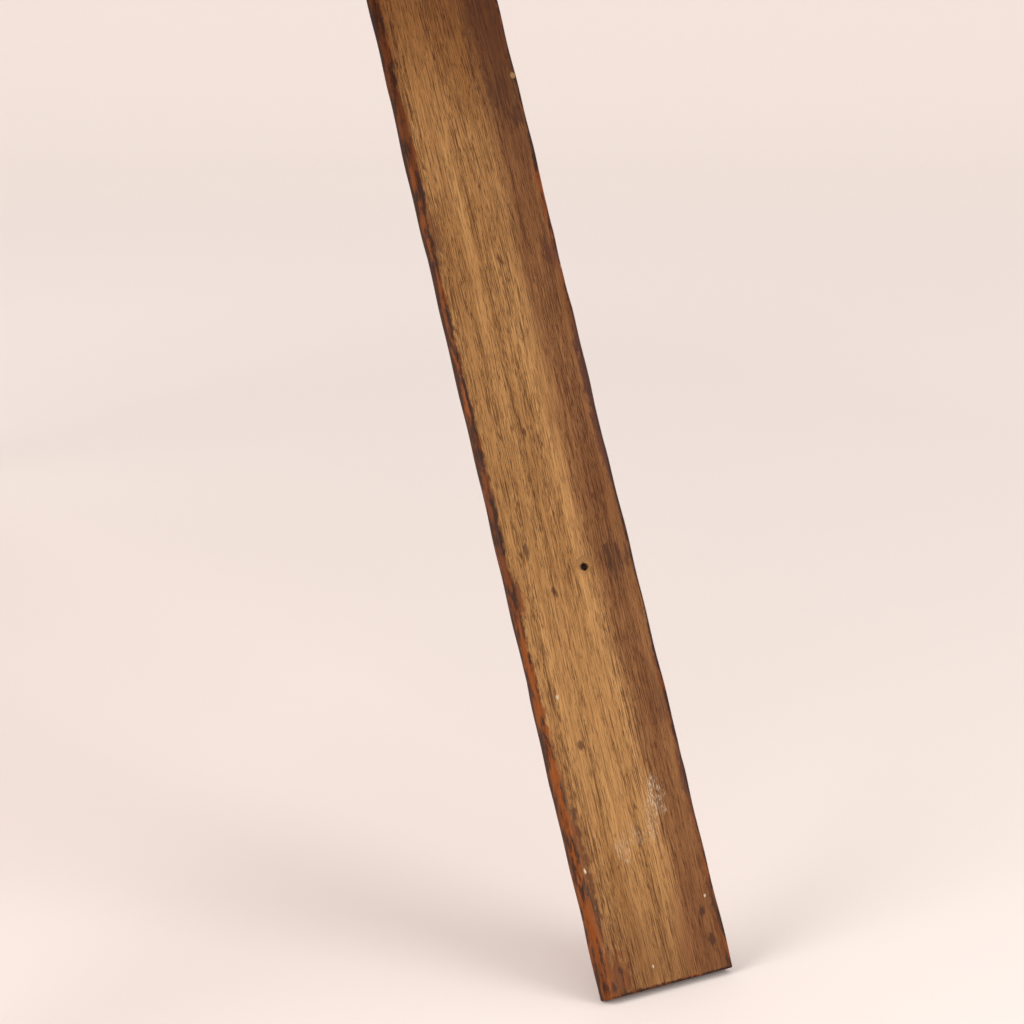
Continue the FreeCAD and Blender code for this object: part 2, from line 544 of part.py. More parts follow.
# ---------------------------------------------------------------- screws
def make_screws():
    board_screw = screw_shape(value("board_screw_radius"),
                              value("batten_thickness + board_screw_bite"),
                              value("board_screw_head_radius"), value("board_screw_head"))
    under = value(BATTEN_UNDERSIDE)
    upright = -90.0
    fastener_group("board_screws", board_screw, [
        at(value(screw_x), value(board_centre(index)), under, 0, upright)
        for _, _, screw_x in BATTENS.values() for index in range(int(value("board_count")))])

    apron_screw = screw_shape(value("board_screw_radius"),
                              value("apron_thickness - board_screw_head + apron_screw_bite"),
                              value("board_screw_head_radius"), value("board_screw_head"))
    seat = value("table_width / 2 - board_screw_head")
    height = value("%s - batten_thickness / 2" % BOARD_UNDERSIDE)
    fastener_group("apron_screws", apron_screw, [
        at(value("%s + %s / 2" % (start, width)), side * seat, height, -90 * side)
        for start, width, _ in BATTENS.values() for side in (1, -1)])

    def small_screw(length):
        return screw_shape(value("small_screw_radius"), value(length),
                           value("small_screw_head_radius"), value("small_screw_head"))

    hinge_screw = small_screw("leaf_thickness + small_screw_bite")
    steps = [step * value("hinge_screw_pitch") for step in (-1, 0, 1)]
    drop = value("hinge_screw_drop")
    face = value("axis_offset - leaf_thickness")
    fastener_group("hinge_top_screws", hinge_screw, [
        at(side * (value(AXIS_X) - drop), side * value(leg_y) + step, value(AXIS_Z) + face, 0,
           upright)
        for side in (1, -1) for leg_y in LEG_PLACES.values() for step in steps])

    bracket_screw = small_screw("stay_thickness + small_screw_bite")
    half_pitch = value("bracket_screw_pitch / 2")
    side_step = value(BRACKET_SCREW_Y)
    fastener_group("stay_top_screws", bracket_screw, [
        at(side * (value(ANCHOR_X) + step), side * (value(STAY_Y) + side_step),
           value(BOARD_UNDERSIDE) - value("stay_thickness"), 0, upright)
        for side in (1, -1) for step in (half_pitch, -half_pitch)])

    rail_screw = small_screw("rail_thickness + small_screw_bite")
    rail_drop = value("rail_drop")
    rail_steps = [sign * value("rail_screw_pitch") / 2 for sign in (1, -1)]
    for end, yaw in ENDS.items():
        frame = leg_frame(yaw)
        fastener_group("hinge_leg_screws_" + end, hinge_screw, [
            frame.multiply(at(face, value(leg_y) + step, -drop))
            for leg_y in LEG_PLACES.values() for step in steps])
        fastener_group("rail_screws_" + end, rail_screw, [
            frame.multiply(at(value(RAIL_OUTER_FACE), value(leg_y), -rail_drop + step, 180))
            for leg_y in LEG_PLACES.values() for step in rail_steps])
        fastener_group("stay_rail_screws_" + end, bracket_screw, [
            frame.multiply(at(value(RAIL_FACE) - value("stay_thickness"),
                              value(STAY_Y) - side_step, -rail_drop + step))
            for step in (half_pitch, -half_pitch)])

    button_screw = screw_shape(
        value("button_screw_radius"),
        value("%s + button_thickness + 2 * turning_gap + button_screw_bite" % POST_LENGTH),
        value("board_screw_head_radius"), value("board_screw_head"))
    fastener_group("button_screws", button_screw, [
        at(0, side * value("button_side"),
           value("%s - button_thickness - turning_gap" % BUTTON_TOP), 0, upright)
        for side in (1, -1)])


make_top_boards()
make_battens()
make_aprons()
for end_name, end_yaw in ENDS.items():
    for leg_name, leg_place in LEG_PLACES.items():
        make_leg(end_name, end_yaw, leg_name, leg_place)
    make_rail(end_name, end_yaw)
make_hinges()
make_stays()
make_buttons()
make_screws()

# ---------------------------------------------------------------- checks and export
doc.recompute()
for item in doc.Objects:
    if "Invalid" in item.State or "Error" in item.State:
        raise RuntimeError("%s did not build: %s" % (item.Label, item.State))
for piece in pieces:
    if piece.Shape.isNull() or not piece.Shape.isValid() or not piece.Shape.Solids:
        raise RuntimeError("%s has no valid solid" % piece.Label)
os.makedirs("parts", exist_ok=True)
for piece in pieces:
    piece.Shape.exportStep(os.path.join("parts", piece.Label + ".step"))
print("%d nodes, leg length %.2f, stay %.2f = %.2f + %.2f" % (
    len(pieces), value(LEG_LENGTH), value(STAY_LENGTH), value("stay_upper_length"),
    value(STAY_LOWER_LENGTH)))
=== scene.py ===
"""Folding plank table: worn oak boards, aged steel hinges and stays, on a pale studio sweep."""

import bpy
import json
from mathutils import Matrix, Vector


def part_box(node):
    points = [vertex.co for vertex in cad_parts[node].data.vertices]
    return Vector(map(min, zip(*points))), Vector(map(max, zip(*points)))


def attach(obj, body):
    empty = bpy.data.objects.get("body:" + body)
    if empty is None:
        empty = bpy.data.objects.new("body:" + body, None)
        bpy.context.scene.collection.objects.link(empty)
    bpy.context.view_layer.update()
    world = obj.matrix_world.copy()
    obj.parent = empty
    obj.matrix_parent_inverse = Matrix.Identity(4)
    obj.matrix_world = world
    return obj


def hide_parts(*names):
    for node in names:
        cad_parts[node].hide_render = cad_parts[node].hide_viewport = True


bl_info = {
    "name": "Folding Plank Table",
    "version": (1, 0, 0),
    "blender": (4, 5, 0),
    "location": "3D View > Sidebar > Folding Table",
    "description": "Worn oak boards, steel fittings and a studio stage for a folding plank table",
    "category": "Add Mesh",
}

import json
import math

import bpy
import bmesh
import numpy as np
from bpy.props import FloatProperty, FloatVectorProperty, PointerProperty
from mathutils import Vector

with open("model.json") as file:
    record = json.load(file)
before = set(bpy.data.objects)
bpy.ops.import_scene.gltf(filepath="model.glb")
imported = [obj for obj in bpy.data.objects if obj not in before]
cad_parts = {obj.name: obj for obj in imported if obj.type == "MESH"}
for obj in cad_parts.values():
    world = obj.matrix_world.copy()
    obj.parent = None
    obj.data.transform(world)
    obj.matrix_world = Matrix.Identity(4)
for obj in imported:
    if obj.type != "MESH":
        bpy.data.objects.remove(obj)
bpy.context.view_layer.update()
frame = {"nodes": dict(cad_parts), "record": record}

MM = 0.001
BODY_OF = {node: body for body, nodes in frame["record"]["behaviour"]["bodies"].items()
           for node in nodes}
SLOT_OF = {part["node"]: part["material_slot"] for part in frame["record"]["subparts"]}
NEAR_LEG = "leg_a_right"


# ------------------------------------------------------------------ colours
def to_linear(hex_code):
    """An sRGB hex colour as linear red, green, blue."""
    channels = [int(hex_code[index:index + 2], 16) / 255 for index in (1, 3, 5)]
    return tuple(c / 12.92 if c <= 0.04045 else ((c + 0.055) / 1.055) ** 2.4 for c in channels)


def colour_property(name, hex_code, description):
    return FloatVectorProperty(name=name, description=description, subtype="COLOR", size=3,
                               min=0.0, max=1.0, default=to_linear(hex_code))


# ------------------------------------------------------------------ settings
class BoardSettings(bpy.types.PropertyGroup):
    arris: FloatProperty(name="Arris radius", description="Rounding of a plank's long edges",
                         default=2.3 * MM, unit="LENGTH")
    top_arris: FloatProperty(name="Top arris radius", description="Rounding of the top's boards",
                             default=1.6 * MM, unit="LENGTH")
    wear: FloatProperty(name="Wear", description="How far wear swells the arris radius",
                        default=0.55, min=0.0, max=1.0)
    waviness: FloatProperty(name="Waviness", description="How far an old plank's edges wander",
                            default=0.2 * MM, unit="LENGTH")
    station_spacing: FloatProperty(name="Station spacing", description="Length of one mesh step",
                                   default=5 * MM, unit="LENGTH")


class FinishSettings(bpy.types.PropertyGroup):
    bare_light: colour_property("Bare oak, light", "#C4945C", "Worn oak with its varnish gone")
    bare_dark: colour_property("Bare oak, dark", "#8E6437", "Darker bands in the worn oak")
    # painted shade: this tint multiplies the near leg's right side darker, and also darkens its foot
    shade: colour_property("Shade", "#B5A3A2", "Tint of the near leg's dirt-darkened side")
    # redder oak for the random clouds, and also the near leg's painted shade at its upper end
    aged_red_and_top_shade: colour_property("Aged red oak", "#7B4B1F", "Redder, less worn oak")
    pore: colour_property("Pores", "#3E1B08", "Dirt in the open pores")
    varnish_dark: colour_property("Old varnish, thick", "#2C1208", "Varnish left on the arrises")
    varnish_amber: colour_property("Old varnish, thin", "#783A06", "Thin varnish that glows amber")
    steel_dark: colour_property("Aged steel", "#4A423A", "Steel with a brown patina")
    steel_rust: colour_property("Rust bloom", "#5C3A24", "Dull rust on the steel")


class StageSettings(bpy.types.PropertyGroup):
    floor: colour_property("Sweep", "#DFD4CE", "Warm off-white paper sweep")
    # painted light: the sweep's emission, which fills in shade more with distance from the foot
    painted_glow: FloatProperty(name="Glow", description="Light given back by the sweep 1 m from the foot",
                        default=0.14, min=0.0)
    soft_light: FloatProperty(name="Soft light", description="Power of each softbox in watts",
                              default=88.0, min=0.0)
    ambient: FloatProperty(name="Ambient", description="Strength of the surrounding light",
                           default=0.85, min=0.0)
    lens: FloatProperty(name="Lens", description="Focal length of the camera in millimetres",
                        default=80.859, min=10.0)
    pitch: FloatProperty(name="Pitch", description="How far the camera looks down",
                         default=math.radians(12.232), subtype="ANGLE")
    heading: FloatProperty(name="Heading", description="Direction of view, from +X towards +Y",
                           default=math.radians(148.155), subtype="ANGLE")


class TableSettings(bpy.types.PropertyGroup):
    board: PointerProperty(type=BoardSettings)
    finish: PointerProperty(type=FinishSettings)
    stage: PointerProperty(type=StageSettings)


# ------------------------------------------------------------------ mesh helpers
def node_array(node, group, name, width):
    mesh = frame["nodes"][node].data
    items = getattr(mesh, group)
    values = np.empty(len(items) * width)
    items.foreach_get(name, values)
    return values.reshape(-1, width)


def plank_axes(node):
    """Centre, axes and size of a plank: X along it, Y across, Z out of its shown broad face.

    The broad face is the one with the largest facet.  Z points up, or away from the table's
    middle where the face is upright, and X points up a leg and along +X or +Y elsewhere.
    """
    areas = node_array(node, "polygons", "area", 1)
    normals = node_array(node, "polygons", "normal", 3)
    points = node_array(node, "vertices", "co", 3)
    normal = normals[areas.argmax()]
    facing = normal[2] if abs(normal[2]) > 0.1 else normal @ points.mean(0)
    normal = normal * math.copysign(1.0, facing)
    level = np.array([0.0, 1.0, 0.0]) if abs(normal[1]) < 0.5 else np.array([0.0, 0.0, 1.0])
    other = np.cross(level, normal)
    spans = [np.ptp(points @ axis) for axis in (level, other)]
    along = level if spans[0] > spans[1] else other
    along = along * math.copysign(1.0, along @ np.array([0.001, 0.01, 1.0]))
    across = np.cross(normal, along)
    axes = np.array([along, across, normal])
    reach = points @ axes.T
    centre = (reach.min(0) + reach.max(0)) / 2 @ axes
    return centre, axes, np.ptp(reach, axis=0)


def ripple(along, rng, wavelengths):
    """Smooth wander along a length: a sum of sines with random phases, between -1 and 1."""
    total = np.zeros_like(along)
    for wavelength in wavelengths:
        total += np.sin(along * (2 * math.pi / wavelength) + rng.uniform(0, 2 * math.pi))
    return total / len(wavelengths)


def dents(along, rng, count):
    """Bell-shaped dents at random places along a length, each 3 to 12 mm long."""
    total = np.zeros_like(along)
    for _ in range(count):
        centre = rng.uniform(along.min(), along.max())
        reach = rng.uniform(3, 12) * MM
        total += rng.uniform(0.3, 1.0) * np.exp(-((along - centre) / reach) ** 2)
    return total


CORNER_STEPS = 5
FACE_STEPS = 9
SIDE_STEPS = 2
CORNER_SIGNS = ((1, 1), (-1, 1), (-1, -1), (1, -1))


def plank_sections(half_width, half_thickness, radii, inset):
    """Rounded-rectangle sections, one per station: y and z for each point round the plank.

    A corner is a quarter circle of that station's radius about a centre that far inside both
    faces.  Between corners the points are shared out along the straight face.  An inset shrinks
    the section, and at the full half thickness it is a line.
    """
    columns = []
    for corner, (side, face) in enumerate(CORNER_SIGNS):
        radius = np.clip(radii[:, corner] - inset, 0, None)
        start = corner * math.pi / 2
        for angle in np.linspace(start, start + math.pi / 2, CORNER_STEPS):
            y = side * (half_width - inset - radius) + radius * math.cos(angle)
            z = face * (half_thickness - inset - radius) + radius * math.sin(angle)
            columns.append(np.stack([y, z], axis=1))
        columns.append(None)
    filled = []
    for index, column in enumerate(columns):
        if column is not None:
            filled.append(column)
            continue
        before, after = columns[index - 1], columns[(index + 1) % len(columns)]
        steps = FACE_STEPS if (index // (CORNER_STEPS + 1)) % 2 == 0 else SIDE_STEPS
        for share in np.linspace(0, 1, steps + 2)[1:-1]:
            filled.append(before + (after - before) * share)
    return np.stack(filled, axis=1)


def plank_stations(length, half_thickness, arris, spacing, breaks):
    """Places along a plank and the inset at each: closed flat, rounded, straight, and back.

    The ends' arrises are crisper than the long ones, at a third of their radius.
    """
    end_arris = arris / 3
    quarter = np.linspace(math.pi / 2, 0, 4)
    cap_inset = np.concatenate([[half_thickness, half_thickness / 2],
                                end_arris * (1 - np.cos(quarter))])
    cap_place = np.concatenate([[0, 0], end_arris * (1 - np.sin(quarter))])
    middle = np.arange(end_arris + spacing, length - end_arris - spacing / 2, spacing)
    steps = [place + step for place in breaks for step in (-0.1 * MM, 0.1 * MM)]
    middle = np.union1d(middle, steps)
    places = np.concatenate([cap_place, middle, length - cap_place[::-1]])
    inset = np.concatenate([cap_inset, np.zeros_like(middle), cap_inset[::-1]])
    return places, inset


def skin_grid(rows, columns):
    """Quads of a grid that is closed round its columns, facing outwards."""
    row, column = np.meshgrid(np.arange(rows - 1), np.arange(columns), indexing="ij")
    after = (column + 1) % columns
    quads = [row * columns + column, row * columns + after,
             (row + 1) * columns + after, (row + 1) * columns + column]
    return np.stack(quads, axis=-1).reshape(-1, 4)


def new_piece(name, points, faces, attributes, material):
    """A mesh object at the origin from world points, with point attributes, doubles merged."""
    mesh = bpy.data.meshes.new(name)
    mesh.from_pydata(points.reshape(-1, 3), [], faces)
    for label, values in attributes.items():
        kind, key = ("FLOAT_VECTOR", "vector") if values.shape[-1] == 3 else ("FLOAT", "value")
        layer = mesh.attributes.new(label, kind, "POINT")
        layer.data.foreach_set(key, values.astype(np.float32).ravel())
    shell = bmesh.new()
    shell.from_mesh(mesh)
    bmesh.ops.remove_doubles(shell, verts=shell.verts, dist=0.004 * MM)
    bmesh.ops.dissolve_degenerate(shell, edges=shell.edges, dist=0.001 * MM)
    shell.to_mesh(mesh)
    shell.free()
    mesh.materials.append(material)
    mesh.shade_smooth()
    mesh.set_sharp_from_angle(angle=math.radians(40))
    piece = bpy.data.objects.new(name, mesh)
    bpy.context.scene.collection.objects.link(piece)
    return piece


def stand_for(piece, node):
    """Let a piece stand in for a CAD node: hang it on the node's body and hide the node."""
    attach(piece, BODY_OF[node])
    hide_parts(node)


def make_plank(node, material, arris, seed, ceiling=None, relief=None):
    """An old plank in a CAD plank's place.

    Its arris radius swells in wear and dents, its edges wander, a ceiling cuts its top end level
    and a relief (start, end, depth) thins it from the back between two places along it.
    """
    board = bpy.context.scene.folding_table.board
    rng = np.random.default_rng(seed)
    centre, axes, (length, width, thickness) = plank_axes(node)
    breaks = relief[:2] if relief else ()
    places, inset = plank_stations(length, thickness / 2, arris, board.station_spacing, breaks)
    radii = np.empty((len(places), 4))
    for corner in range(4):
        worn = 1 + board.wear * ripple(places, rng, (0.31, 0.11, 0.043))
        worn += 0.35 * dents(places, rng, int(length / 0.09))
        radii[:, corner] = np.minimum(arris * worn, 0.42 * thickness)
    section = plank_sections(width / 2, thickness / 2, radii, inset)
    y, z = section[..., 0], section[..., 1]
    edge = width / 2 - np.abs(y)
    for side in (1, -1):
        wander = board.waviness * (ripple(places, rng, (0.47, 0.17)) - 1) / 2
        y = y + np.where(np.sign(y) == side, side * wander[:, None] * np.abs(2 * y / width) ** 3, 0)
    if relief:
        start, end, depth = relief
        thinned = (places > start) & (places < end)
        z = z + np.where((z < 0) & thinned[:, None], depth, 0)
    x = np.broadcast_to(places[:, None], y.shape)
    grain = np.stack([x, y, z], axis=-1)
    local = grain - np.array([length / 2, 0, 0])
    points = centre + local @ axes
    if ceiling is not None:
        over = np.clip(points[..., 2] - ceiling, 0, None) / axes[0][2]
        points = points - over[..., None] * axes[0]
    attributes = {"grain": grain, "edge": edge[..., None],
                  "seed": np.full(y.shape + (1,), float(seed))}
    piece = new_piece("plank_" + node, points, skin_grid(*y.shape), attributes, material)
    stand_for(piece, node)
    return piece


def make_slab(node, material, pivot, arris, seed):
    """A slab with round ends in a CAD node's place, bored for its screw at X = pivot.

    Its outline at an inset i is a circle of radius R - i swept along the middle segment.  The
    arris is a quarter circle: at an angle a the inset is r (1 - cos a) and the outline has
    dropped r (1 - sin a) from the broad face.
    """
    low, high = (np.array(corner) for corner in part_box(node))
    radius = (high[1] - low[1]) / 2
    run = high[0] - low[0] - 2 * radius
    around = np.linspace(0, 2 * math.pi, 64, endpoint=False) + math.pi / 64
    quarter = np.linspace(math.pi / 2, 0, 5)
    inset = np.concatenate([[radius, radius * 0.6], arris * (1 - np.cos(quarter))])
    drop = np.concatenate([[0, 0], arris * (1 - np.sin(quarter))])
    inset = np.concatenate([inset, inset[::-1]])[:, None]
    z = np.concatenate([low[2] + drop, (high[2] - drop)[::-1]])[:, None]
    x = low[0] + radius + run * (np.cos(around) > 0) + (radius - inset) * np.cos(around)
    y = (low[1] + high[1]) / 2 + (radius - inset) * np.sin(around)
    points = np.stack([x, y, np.broadcast_to(z, x.shape)], axis=-1)
    attributes = {"grain": points - low, "edge": np.broadcast_to(inset, x.shape)[..., None],
                  "seed": np.full(x.shape + (1,), float(seed))}
    piece = new_piece("slab_" + node, points, skin_grid(*x.shape), attributes, material)
    centre = np.array([pivot, (low[1] + high[1]) / 2, (low[2] + high[2]) / 2])
    drill(piece, centre, np.array([0.0, 0.0, 1.0]), BUTTON_BORE_RADIUS, high[2] - low[2])
    stand_for(piece, node)


def drill(piece, centre, axis, radius, depth):
    """Cut a round hole through a piece with a 24-sided cutter that is then thrown away."""
    angles = np.linspace(0, 2 * math.pi, 24, endpoint=False)
    side = np.cross(axis, [0.0, 1.0, 0.0])
    side /= np.linalg.norm(side)
    ring = radius * (np.cos(angles)[:, None] * side
                     + np.sin(angles)[:, None] * np.cross(axis, side))
    ends = [centre + ring + shift * depth * axis for shift in (-1, 1)]
    count = len(angles)
    walls = skin_grid(2, count)[:, ::-1].tolist()
    walls += [list(range(count)), list(range(2 * count - 1, count - 1, -1))]
    mesh = bpy.data.meshes.new("cutter")
    mesh.from_pydata(np.concatenate(ends), [], walls)
    cutter = bpy.data.objects.new("cutter", mesh)
    bpy.context.scene.collection.objects.link(cutter)
    clean = bmesh.new()
    clean.from_mesh(mesh)
    bmesh.ops.recalc_face_normals(clean, faces=clean.faces)
    clean.to_mesh(mesh)
    clean.free()
    cut = piece.modifiers.new("hole", "BOOLEAN")
    cut.operation, cut.object, cut.solver = "DIFFERENCE", cutter, "EXACT"
    bpy.context.view_layer.update()
    shown = piece.evaluated_get(bpy.context.evaluated_depsgraph_get())
    cut_mesh = bpy.data.meshes.new_from_object(shown)
    piece.modifiers.clear()
    piece.data = cut_mesh
    bpy.data.objects.remove(cutter)


# ------------------------------------------------------------------ material helpers
def add_node(tree, kind, inputs, output=0, **settings):
    """Add a node with its settings, give its inputs values or links, and return one output."""
    node = tree.nodes.new("ShaderNode" + kind)
    for name, setting in settings.items():
        setattr(node, name, setting)
    for key, given in inputs.items():
        if isinstance(given, bpy.types.NodeSocket):
            tree.links.new(given, node.inputs[key])
        else:
            node.inputs[key].default_value = given
    return node.outputs[output] if len(node.outputs) else None


def new_material(name):
    material = bpy.data.materials.new(name)
    material.use_nodes = True
    material.node_tree.nodes.clear()
    return material, material.node_tree


def rgba(colour):
    return (colour[0], colour[1], colour[2], 1.0)


def finish_material(tree, inputs):
    """The surface shader, with its links and constants, and the output."""
    add_node(tree, "OutputMaterial", {"Surface": add_node(tree, "BsdfPrincipled", inputs)})


def grain_space(tree):
    """A plank's place in its own grain, metres, and the same shifted and bent for patterns."""
    place = add_node(tree, "Attribute", {}, "Vector", attribute_name="grain")
    seed = add_node(tree, "Attribute", {}, "Fac", attribute_name="seed")
    shift = add_node(tree, "VectorMath", {0: (0.731, 0.377, 0.913), "Scale": seed},
                     operation="SCALE")
    shifted = add_node(tree, "VectorMath", {0: place, 1: shift}, operation="ADD")
    bend = grain_pattern(tree, shifted, (2.2, 9, 9), 1.0)
    drift = add_node(tree, "MapRange", {0: bend, 3: -6 * MM, 4: 6 * MM},
                     interpolation_type="SMOOTHSTEP")
    sideways = add_node(tree, "CombineXYZ", {"Y": drift, "Z": drift})
    return place, add_node(tree, "VectorMath", {0: shifted, 1: sideways}, operation="ADD")


def grain_pattern(tree, space, per_metre, detail, roughness=0.5):
    """A cloudy pattern with so many features a metre along, across and through the plank."""
    stretched = add_node(tree, "VectorMath", {0: space, 1: per_metre}, operation="MULTIPLY")
    return add_node(tree, "TexNoise", {"Vector": stretched, "Scale": 1.0, "Detail": detail,
                                       "Roughness": roughness})


def spot(tree, place, ragged, mark, soft=0.35):
    """An oval mark with a ragged edge: how strongly it shows at each place."""
    rise, side, length, width, strength = mark
    away = add_node(tree, "VectorMath", {0: place, 1: (rise * MM, -side * MM, 0)},
                    operation="SUBTRACT")
    scaled = add_node(tree, "VectorMath", {0: away, 1: (1 / (length * MM), 1 / (width * MM), 0)},
                      operation="MULTIPLY")
    distance = add_node(tree, "VectorMath", {0: scaled}, 1, operation="LENGTH")
    rough = add_node(tree, "Math", {0: distance, 1: ragged}, operation="ADD")
    oval = add_node(tree, "MapRange", {0: rough, 1: 1 + soft, 2: 1 - soft},
                    interpolation_type="SMOOTHSTEP")
    return add_node(tree, "Math", {0: oval, 1: strength}, operation="MULTIPLY")


# Marks on the near leg, in millimetres: rise above the foot, side from its middle (towards +Y),
# half length, half width, and how strongly each shows.  The plank's own y runs towards -Y.
DARK_STAINS = (
    (221.8, 27.4, 10, 7, 0.8), (294.8, -9.5, 2.4, 1.2, 0.7), (231.6, -25.1, 4, 1.8, 0.6),
    (208.2, -14.4, 2.8, 1.6, 0.7), (127.5, -20.2, 2.4, 1.5, 0.7), (31.2, 28.4, 2.8, 1.8, 0.8),
    (16.6, 30.3, 3.6, 2.0, 0.8), (488.3, 27.5, 8, 14, 0.55), (218.9, 7, 3.6, 3.2, 0.25),
    (473.7, 34.3, 5, 6, 0.5), (544.7, 10.9, 26, 30, 0.3), (145.9, 33.3, 12, 4, 0.5),
    (520, 30, 60, 16, 0.4), (4.9, -33.9, 2.5, 2, 0.8), (12.7, -28, 1.6, 1.4, 0.7),
)
PURPLE_PATCHES = ((324.9, 38.1, 30, 4, 0.9), (288, 37.2, 22, 3.4, 0.8), (393, 34.3, 8, 5, 0.7),
                  (97.3, 38.1, 20, 3.4, 0.7), (408.6, -35.8, 18, 3, 0.6))
AMBER_PATCHES = ((58.4, -36.8, 60, 4.5, 0.85), (7.8, -33.9, 14, 10, 0.8), (29.2, 39.1, 40, 4, 0.8),
                 (207.3, -37.7, 9, 4.5, 0.9), (374.5, 39.1, 14, 3, 0.7), (428, 39.1, 20, 3, 0.7))
WHITE_MARKS = ((65.2, -35.2, 1.6, 0.8, 0.8), (153.8, -27.5, 1.2, 0.7, 0.6),
               (10.7, -8.6, 1.0, 0.6, 0.7), (38.9, 32.3, 0.9, 0.7, 0.7),
               (94.4, 17.7, 10, 5, 0.9), (83.7, 10.9, 9, 4, 0.65),
               (76.9, 2.1, 6, 6, 0.35), (71.1, -10.5, 8, 4, 0.5))
PALE_CHIPS = ((497, 37.4, 1.7, 1.5, 0.75), (385.2, 38.5, 1.6, 0.8, 0.7),
              (189.7, -36.7, 2.2, 0.7, 0.7))
SMEAR = 5  # half length in millimetres over which a mark is broken up by the grain
OLD_HOLE_RISE = 219 * MM
OLD_HOLE_SIDE = 7.1 * MM
OLD_HOLE_RADIUS = 1.9 * MM
BUTTON_BORE_RADIUS = 2.55 * MM


